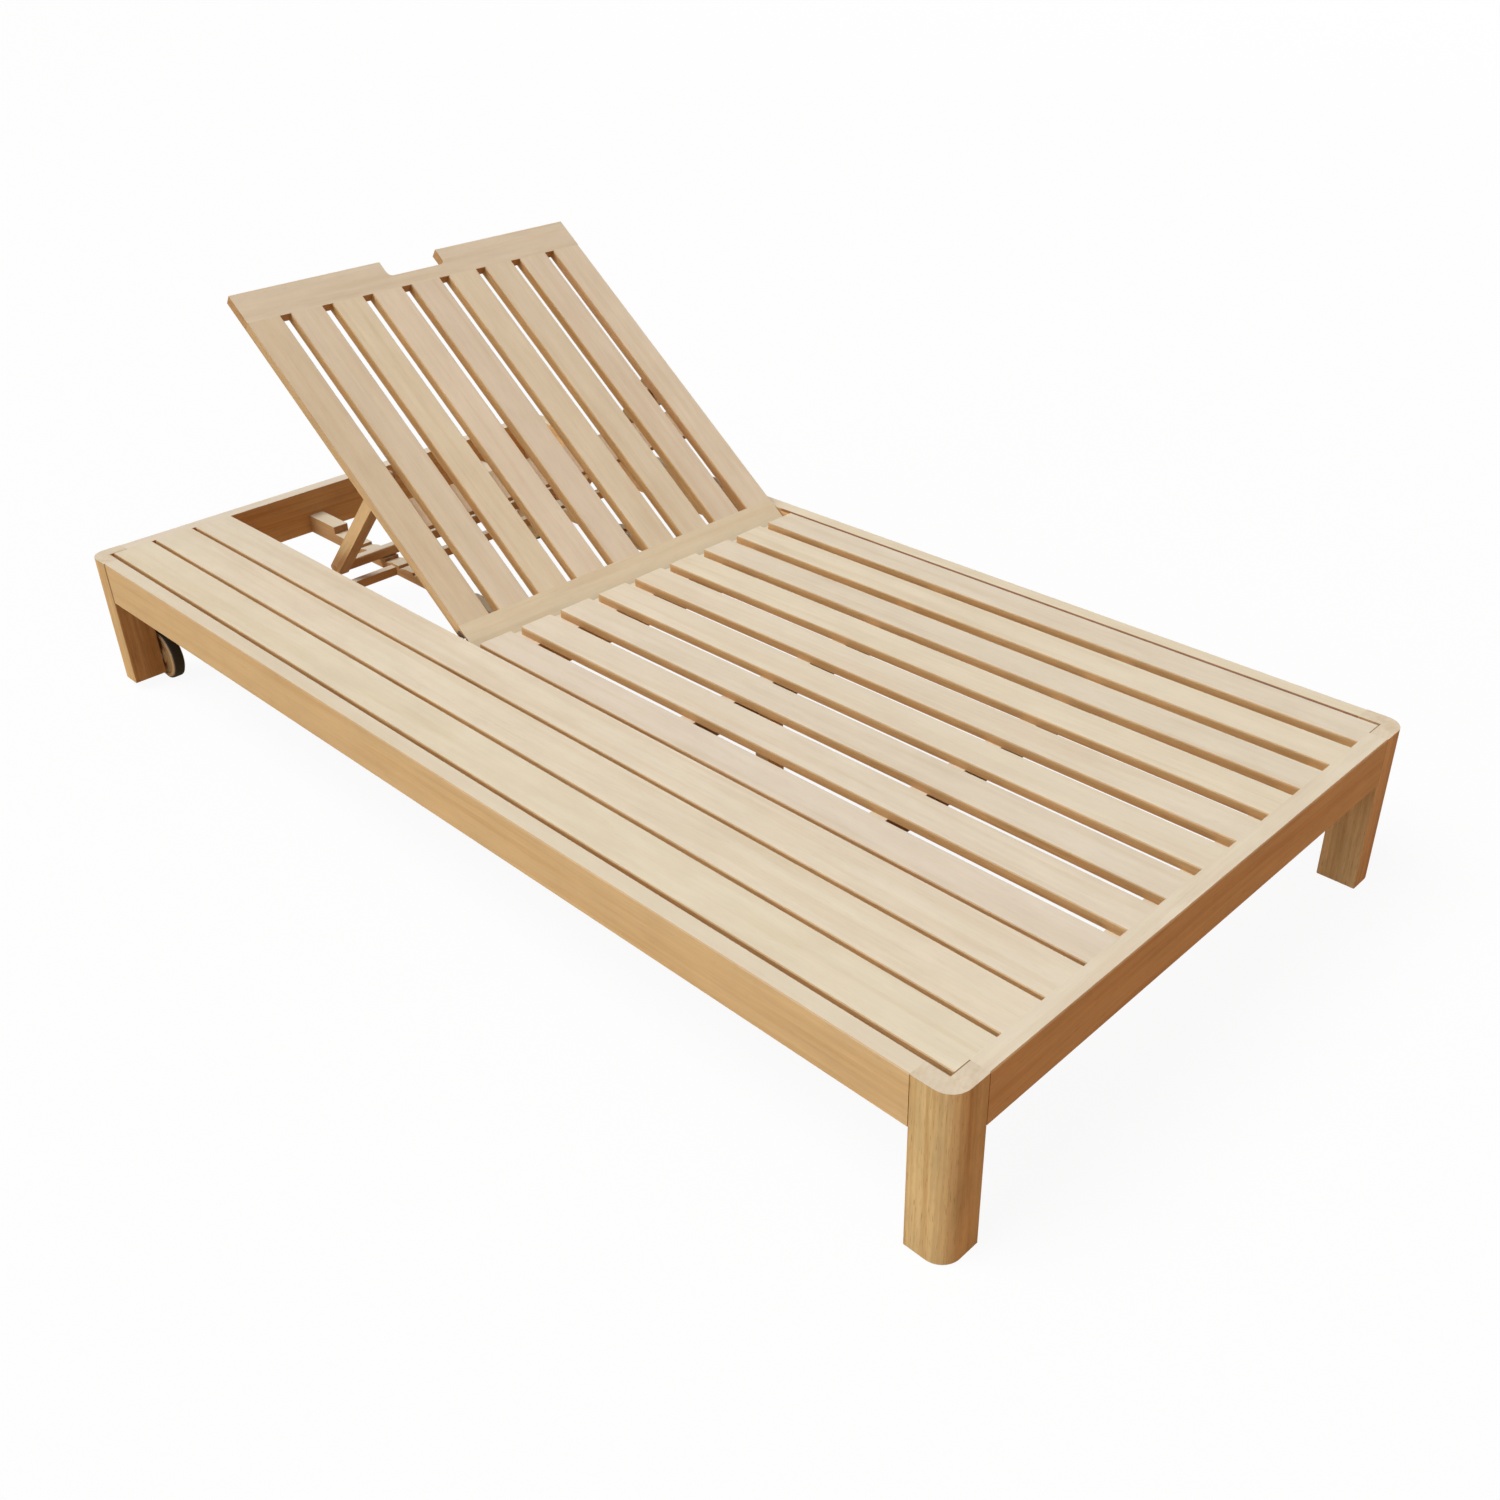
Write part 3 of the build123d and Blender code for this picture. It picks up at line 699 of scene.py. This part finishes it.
def screwTree():
    tree = bpy.data.node_groups.new("screwSetter", "GeometryNodeTree")
    for name, kind in (
        ("Places", "Geometry"),
        ("Head Radius", "Float"),
        ("Recess Size", "Vector"),
        ("Seed", "Int"),
        ("Steel", "Material"),
    ):
        tree.interface.new_socket(name, in_out="INPUT", socket_type="NodeSocket" + kind)
    tree.interface.new_socket("Screws", in_out="OUTPUT", socket_type="NodeSocketGeometry")
    maker = NodeMaker(tree)
    given = maker.node("NodeGroupInput").outputs
    places, radius, recess, seed, metal = [Value(maker, given[at]) for at in range(5)]
    head = maker.add("GeometryNodeMeshCone", None, {
        "Vertices": screw["sides"],
        "Radius Top": radius * screw["taper"],
        "Radius Bottom": radius,
        "Depth": screw["proud"] + screw["sink"],
    })
    lowered = {"Geometry": head, "Translation": (0.0, 0.0, -screw["sink"])}
    sunk = maker.add("GeometryNodeTransform", None, lowered)
    slot = maker.add("GeometryNodeMeshCube", None, {"Size": recess})
    crossed = []
    for turn in (0.0, math.pi / 2):
        crossed.append(maker.add("GeometryNodeTransform", None, {
            "Geometry": slot,
            "Translation": (0.0, 0.0, screw["proud"]),
            "Rotation": (0.0, 0.0, turn),
        }))
    difference = {"operation": "DIFFERENCE"}
    cut = maker.add("GeometryNodeMeshBoolean", difference, {"Mesh 1": sunk, "Mesh 2": crossed})
    vector = {"data_type": "FLOAT_VECTOR"}
    facing = maker.add("GeometryNodeInputNamedAttribute", vector, {"Name": "facing"})
    aim = maker.add("FunctionNodeAlignRotationToVector", {"axis": "Z"}, {"Vector": facing})
    setting = {"Points": places, "Instance": cut, "Rotation": aim}
    heads = maker.add("GeometryNodeInstanceOnPoints", None, setting)
    turns = {2: 0.0, 3: math.pi, "Seed": seed}
    spin = maker.add("FunctionNodeRandomValue", {"data_type": "FLOAT"}, turns, output=1)
    twist = maker.add("ShaderNodeCombineXYZ", None, {"Z": spin})
    twisted = {"Instances": heads, "Rotation": twist}
    turned = maker.add("GeometryNodeRotateInstances", None, twisted)
    solid = maker.add("GeometryNodeRealizeInstances", None, {"Geometry": turned})
    dressed = maker.add("GeometryNodeSetMaterial", None, {"Geometry": solid, "Material": metal})
    maker.node("NodeGroupOutput", None, {0: dressed})
    return tree


def crossings(support, carried, turn):  # screws go up through the support into each board
    centre, half = localBox(support, turn)
    back = turn.inverted()
    found = []
    for name in carried:
        otherCentre, otherHalf = localBox(name, turn)
        lows = [max(centre[a] - half[a], otherCentre[a] - otherHalf[a]) for a in (0, 1)]
        highs = [min(centre[a] + half[a], otherCentre[a] + otherHalf[a]) for a in (0, 1)]
        shared = [high - low for low, high in zip(lows, highs)]
        if min(shared) < screw["leastOverlap"]:
            continue
        x, y = [(low + high) / 2 for low, high in zip(lows, highs)]
        spread = screw["pairSpread"]
        for shift in ((-spread, spread) if shared[1] > screw["pairWidth"] else (0.0,)):
            place = back @ Vector((x, y + shift, centre.z - half.z))
            found.append((place, back @ Vector((0, 0, -1))))
    return found


def frameScrews():
    seat = ["seat_slat_%d" % number for number in range(1, 10)]
    shelf = ["shelf_slat_%d" % number for number in range(1, 4)]
    racks = ["rack_near", "rack_far"]
    places = []
    for supports, boards in (
        (("seat_batten_1", "seat_batten_2", "foot_ledger", "hinge_rail"), seat),
        (("shelf_batten_1", "shelf_batten_2", "head_ledger", "foot_ledger"), shelf),
        (("rack_cross_rail",), racks),
    ):
        for support in supports:
            places += crossings(support, boards, Matrix.Identity(3))
    hinge = Vector(joints["backrest_hinge"]["pos_m"])
    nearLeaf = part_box("shelf_rail")[1].y + screw["hingeLeaf"]
    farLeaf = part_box("far_apron")[0].y - screw["hingeLeaf"]
    for drop in screw["hingeDrops"]:
        for y, facing in ((nearLeaf, 1), (farLeaf, -1)):
            places.append((Vector((hinge.x, y, hinge.z - drop)), Vector((0, facing, 0))))
    return places


def backScrews():
    back = backTilt.inverted()
    boards = [name for name in bodies["backrest"] if name.startswith(("back_slat", "back_stile"))]
    places = crossings("back_batten", boards, backTilt)
    for name in ("prop_cleat_near", "prop_cleat_far"):
        centre, half = localBox(name, backTilt)
        for side in (-1, 1):
            along = centre.x + side * half.x * screw["cleatSpread"]
            place = back @ Vector((along, centre.y, centre.z - half.z))
            places.append((place, back @ Vector((0, 0, -1))))
    return places


def setScrews(name, places, body, tree):
    mesh = bpy.data.meshes.new(name + "_places")
    mesh.from_pydata([place for place, facing in places], [], [])
    facings = mesh.attributes.new("facing", "FLOAT_VECTOR", "POINT")
    facings.data.foreach_set("vector", [part for place, facing in places for part in facing])
    holder = addObject(name + "_places", mesh)
    modifier = holder.modifiers.new("screws", "NODES")
    modifier.node_group = tree
    given = {
        "Head Radius": screw["radius"],
        "Recess Size": (screw["recessLong"], screw["recessWide"], screw["recessDeep"] * 2),
        "Seed": screw["seed"],
        "Steel": steelFinish,
    }
    for item in tree.interface.items_tree:
        if item.name in given:
            modifier[item.identifier] = given[item.name]
    evaluated = holder.evaluated_get(bpy.context.evaluated_depsgraph_get())
    solid = bpy.data.meshes.new_from_object(evaluated)
    solid.name = name
    solid.materials.clear()  # the boolean leaves an empty slot before the steel
    solid.materials.append(steelFinish)
    bpy.data.objects.remove(holder)
    piece = addObject(name, solid)
    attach(piece, body)
    print(name, len(places), "screws,", len(solid.polygons), "faces")


screwSetter = screwTree()
setScrews("frame_screws", frameScrews(), "frame", screwSetter)
setScrews("backrest_screws", backScrews(), "backrest", screwSetter)


studio = {
    "segments": 96,
    "innerRadius": 0.5,
    "floorRadius": 7.0,
    "coveRise": 9.0,
    "coveSteps": 12,
    "coveRoughness": 0.9,
    "seenLight": 0.93,
    "seenShade": 0.05,
    "bounce": (0.22, 0.165, 0.105),
    "glow": (0.275, 0.198, 0.117),
    "bounceRadius": 6.0,
    "bounceDrop": 0.002,
    "sky": (1.0, 1.0, 1.0),
    "skyStrength": 0.22,
    "suns": (  # name, the way to it, strength, spread in degrees, colour
        ("key", (-0.25, -0.45, 0.86), 3.0, 40.0, (1.0, 1.0, 1.0)),
        ("side", (-0.15, -0.97, 0.12), 2.25, 40.0, (0.63, 0.89, 1.0)),
        ("warm", (0.9, 0.1, 0.35), 0.64, 50.0, (1.0, 0.40, 0.05)),
    ),
}


def stageMesh(name, profile, material):  # a round sheet from (radius, height) points
    shape = bmesh.new()
    spun = []
    segments = studio["segments"]
    angles = [2 * math.pi * step / segments for step in range(segments)]
    for radius, height in profile:
        circle = [(radius * math.cos(angle), radius * math.sin(angle), height) for angle in angles]
        spun.append([shape.verts.new(place) for place in circle])
    shape.faces.new(spun[0])
    for inner, outer in zip(spun, spun[1:]):
        for step in range(segments):
            following = (step + 1) % segments
            shape.faces.new((inner[step], outer[step], outer[following], inner[following]))
    for face in shape.faces:
        face.smooth = True
    mesh = bpy.data.meshes.new(name)
    shape.to_mesh(mesh)
    shape.free()
    mesh.materials.append(material)
    piece = addObject(name, mesh)
    return piece


def makeCove():  # the white floor that the camera sees, with a rising edge
    steps = studio["coveSteps"]
    radius, rise = studio["floorRadius"], studio["coveRise"]
    profile = [(studio["innerRadius"], 0.0), (radius, 0.0)]
    for step in range(1, steps + 1):
        angle = math.pi / 2 * step / steps
        profile.append((radius + rise * math.sin(angle), rise * (1 - math.cos(angle))))
    white = Shader("cove_white").finish(
        Base_Color=(studio["seenShade"],) * 3,
        Roughness=studio["coveRoughness"],
        Specular_IOR_Level=0.0,
        Emission_Color=(studio["seenLight"],) * 3,
        Emission_Strength=1.0,
    )
    cove = stageMesh("cove", profile, white)
    cove.visible_diffuse = False
    cove.visible_glossy = False
    cove.visible_shadow = False


def makeBounceFloor():  # throws warm light up under the boards, and isn't seen itself
    warm = Shader("bounce_warm").finish(
        Base_Color=studio["bounce"],
        Roughness=1.0,
        Emission_Color=studio["glow"],
        Emission_Strength=1.0,
    )
    height = -studio["bounceDrop"]
    profile = [(studio["innerRadius"], height), (studio["bounceRadius"], height)]
    stageMesh("bounce_floor", profile, warm).visible_camera = False


def makeSun(name, towards, strength, spread, colour):
    data = bpy.data.lights.new(name, "SUN")
    data.energy = strength
    data.angle = math.radians(spread)
    data.color = colour
    sun = addObject(name, data)
    sun.rotation_euler = Vector(towards).to_track_quat("Z", "Y").to_euler()


def makeSky():
    world = bpy.data.worlds.new("studio")
    bpy.context.scene.world = world
    world.use_nodes = True
    background = world.node_tree.nodes["Background"]
    background.inputs["Color"].default_value = (*studio["sky"], 1.0)
    background.inputs["Strength"].default_value = studio["skyStrength"]


makeCove()
makeBounceFloor()
for sun in studio["suns"]:
    makeSun(*sun)
makeSky()
bpy.context.scene.view_settings.view_transform = "Standard"
bpy.context.scene.view_settings.look = "None"
print("studio lit")
